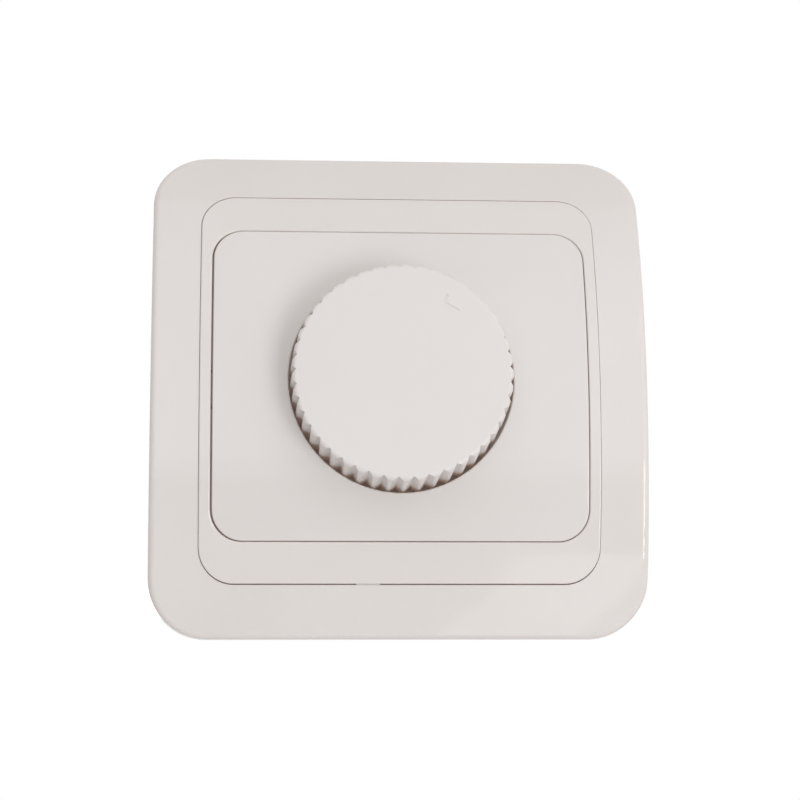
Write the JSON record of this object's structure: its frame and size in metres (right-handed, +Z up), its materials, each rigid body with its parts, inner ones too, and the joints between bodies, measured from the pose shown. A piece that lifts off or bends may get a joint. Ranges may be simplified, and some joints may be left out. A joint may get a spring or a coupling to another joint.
{
  "type": "rotary dimmer switch",
  "caption": "Flush wall dimmer: arched square frame, bezel ring and centre plate around a fluted push-and-turn knob, with its insert behind.",
  "frame": {"origin": "middle of the box-screw pattern in the wall plane, on the knob's axis", "axes": "+X to the right as seen from the room, +Z up, the room and the knob towards -Y, the wall box towards +Y"},
  "size_m": [0.086, 0.0456, 0.086],
  "materials": {
    "frame_white": "glossy warm-white thermoplastic",
    "bezel_white": "glossy warm-white thermoplastic",
    "plate_white": "glossy warm-white thermoplastic",
    "knob_white": "satin warm-white thermoplastic",
    "shaft_plastic": "natural grey polyamide",
    "zinc_steel": "zinc-plated steel",
    "nickel_brass": "nickel-plated brass",
    "bridge_steel": "zinc-plated sheet steel",
    "insert_grey": "dark grey moulded polyamide",
    "board_green": "glass-fibre laminate with green mask",
    "phenolic_brown": "brown phenolic sheet",
    "carbon_black": "screened carbon film",
    "rotor_plastic": "natural acetal",
    "contact_brass": "bronze spring strip",
    "switch_black": "black moulded polyester",
    "spring_steel": "stainless spring strip",
    "component_black": "black epoxy with tinned leads",
    "pad_grey": "silicone-coated film",
    "core_yellow": "coated iron powder",
    "winding_copper": "enamelled copper wire",
    "capacitor_yellow": "yellow boxed film capacitor",
    "capacitor_blue": "dipped film capacitor",
    "resistor_beige": "lacquered film resistor",
    "diac_glass": "tinted glass bead",
    "trimmer_blue": "blue moulded plastic",
    "trimmer_white": "white moulded plastic",
    "fuse_glass": "clear glass tube",
    "fuse_cap_metal": "nickel-plated brass cap"
  },
  "bodies": {
    "insert": {"outer_frame": "frame_white", "bezel_ring": "bezel_white", "centre_plate": "plate_white", "clamp_washer": "zinc_steel", "clamp_nut": "nickel_brass", "mounting_bridge": "bridge_steel", "insert_cover": "insert_grey", "case_screws": "zinc_steel", "insert_housing": "insert_grey", "circuit_board": "board_green", "pot_bushing": "nickel_brass", "pot_case": "zinc_steel", "pot_base": "phenolic_brown", "resistive_track": "carbon_black", "switch_case": "switch_black", "fixed_contacts": "contact_brass", "return_spring": "spring_steel", "triac": "component_black", "insulating_pad": "pad_grey", "triac_screw": "zinc_steel", "triac_nut": "zinc_steel", "choke_core": "core_yellow", "choke_winding": "winding_copper", "film_capacitor": "capacitor_yellow", "timing_capacitors": "capacitor_blue", "resistors": "resistor_beige", "diac": "diac_glass", "trimmer_body": "trimmer_blue", "fuse_tube": "fuse_glass", "fuse_caps": "fuse_cap_metal", "fuse_clips": "contact_brass", "terminal_cages": "contact_brass", "terminal_screws": "zinc_steel"},
    "wiper": {"pot_rotor": "rotor_plastic", "wiper_contact": "contact_brass"},
    "knob": {"knob": "knob_white", "control_shaft": "shaft_plastic"},
    "plunger": {"switch_plunger": "rotor_plastic", "moving_contact": "contact_brass"},
    "trimmer": {"trimmer_rotor": "trimmer_white"}
  },
  "joints": [
    {"name": "knob_turn", "type": "hinge", "parent": "insert", "child": "wiper", "pos_m": [0, 0, 0], "axis": [0, -1, 0], "range_deg": [-120, 180]},
    {"name": "knob_push", "type": "slide", "parent": "wiper", "child": "knob", "axis": [0, 1, 0], "range_m": [0, 0.0015], "stiffness_N_per_m": 800, "springref_m": -0.001},
    {"name": "plunger_travel", "type": "slide", "parent": "insert", "child": "plunger", "axis": [0, 1, 0], "range_m": [0, 0.0015], "deforming": ["return_spring"]},
    {"name": "trimmer_turn", "type": "hinge", "parent": "insert", "child": "trimmer", "pos_m": [0.015, 0.002, 0.013], "axis": [0, -1, 0], "range_deg": [-130, 130]}
  ],
  "couplings": [
    {"joint": "plunger_travel", "follows": "knob_push", "ratio": 1}
  ]
}
